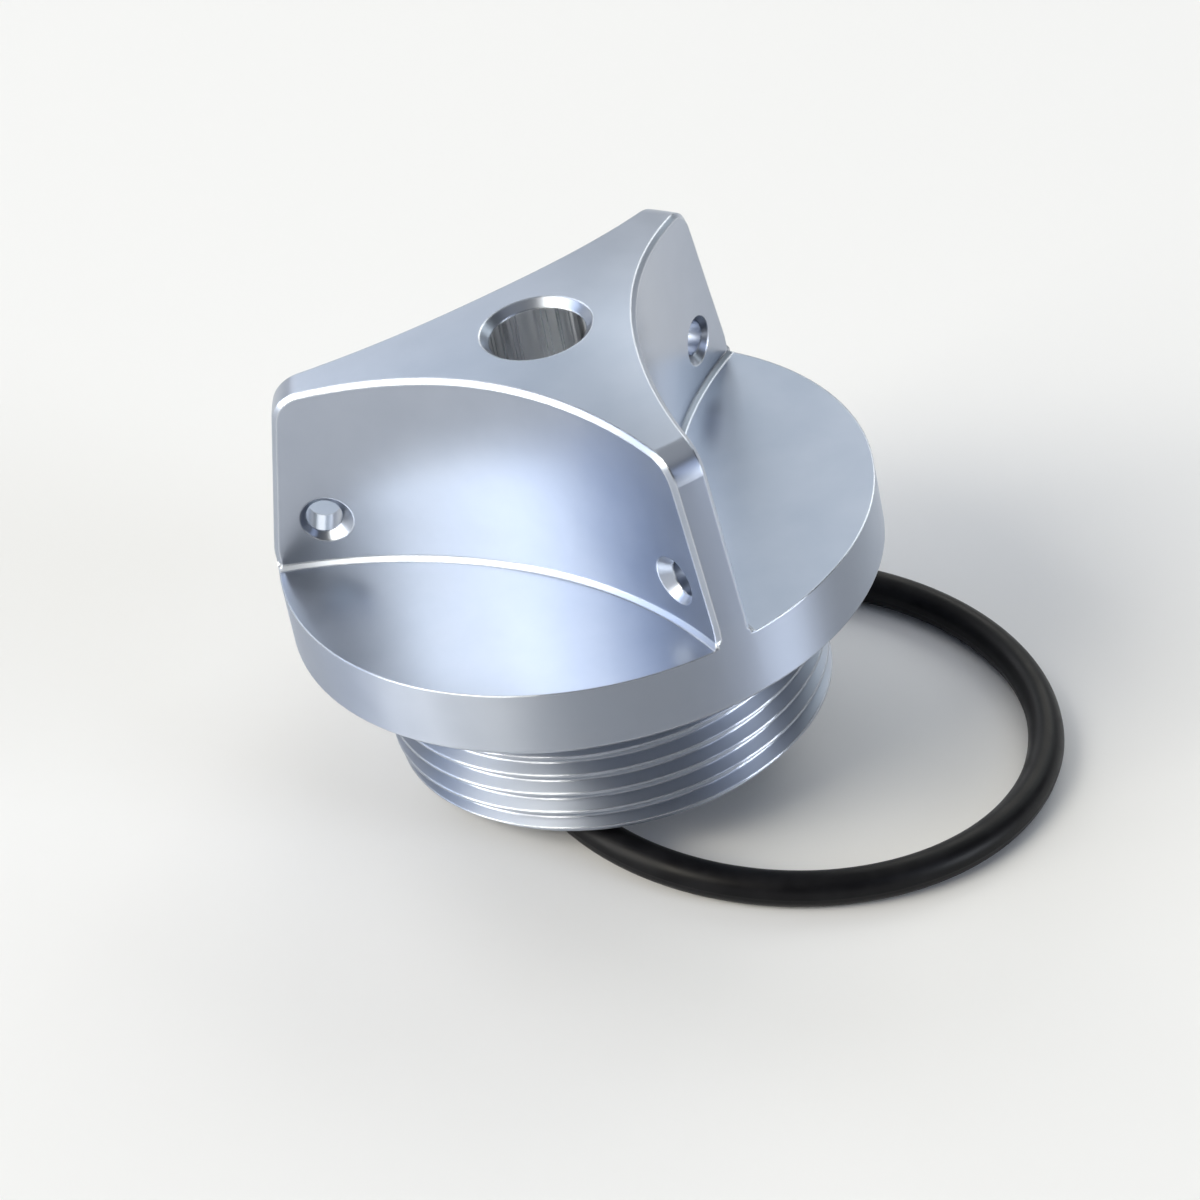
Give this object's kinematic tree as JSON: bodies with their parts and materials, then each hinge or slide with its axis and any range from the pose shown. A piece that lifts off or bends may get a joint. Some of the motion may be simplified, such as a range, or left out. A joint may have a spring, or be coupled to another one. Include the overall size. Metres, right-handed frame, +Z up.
{
  "type": "oil filler cap",
  "caption": "Screw-in oil filler cap with a scalloped grip knob, a flange and a hollow neck, leaning on the loose rubber ring that seals it.",
  "frame": {"origin": "on the floor that both pieces stand on, below the middle of their outline", "axes": "+Z up; +X from the low edge of the cap's neck to the middle of the ring; +Y to the left of that"},
  "size_m": [0.0532, 0.04, 0.0334],
  "materials": {
    "satin_aluminium": "clear anodised, satin",
    "black_rubber": "smooth moulded"
  },
  "bodies": {
    "root": {"filler_cap": "satin_aluminium", "o_ring": "black_rubber"}
  },
  "joints": []
}
